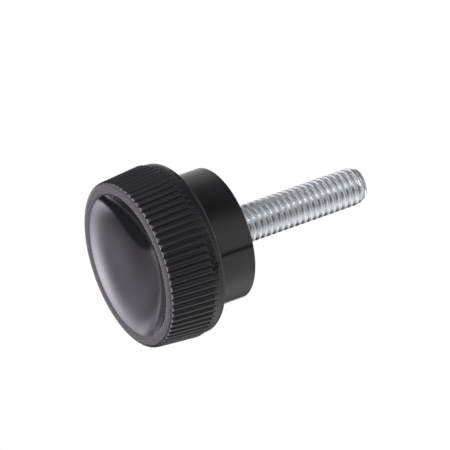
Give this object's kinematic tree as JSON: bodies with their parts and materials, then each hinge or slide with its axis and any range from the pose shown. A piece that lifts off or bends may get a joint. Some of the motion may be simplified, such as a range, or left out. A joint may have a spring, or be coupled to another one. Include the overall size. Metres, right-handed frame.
{
  "type": "knurled knob",
  "caption": "Round black moulded knob with a ridged rim, a finger dish in its face and a threaded metal stud for clamping by hand.",
  "frame": {"origin": "centre of the face ring, in the plane that the knob stands on", "axes": "+Z along the axis from the face ring through the hub to the tip of the stud; the knob is round, so X and Y are free"},
  "size_m": [0.0186, 0.0186, 0.028],
  "materials": {
    "gloss_black_moulding": "black thermoset moulding, smooth and glossy",
    "zinc_plated_steel": "bright zinc plating over rolled steel thread"
  },
  "bodies": {
    "root": {"knob": "gloss_black_moulding", "threaded_stud": "zinc_plated_steel"}
  },
  "joints": []
}
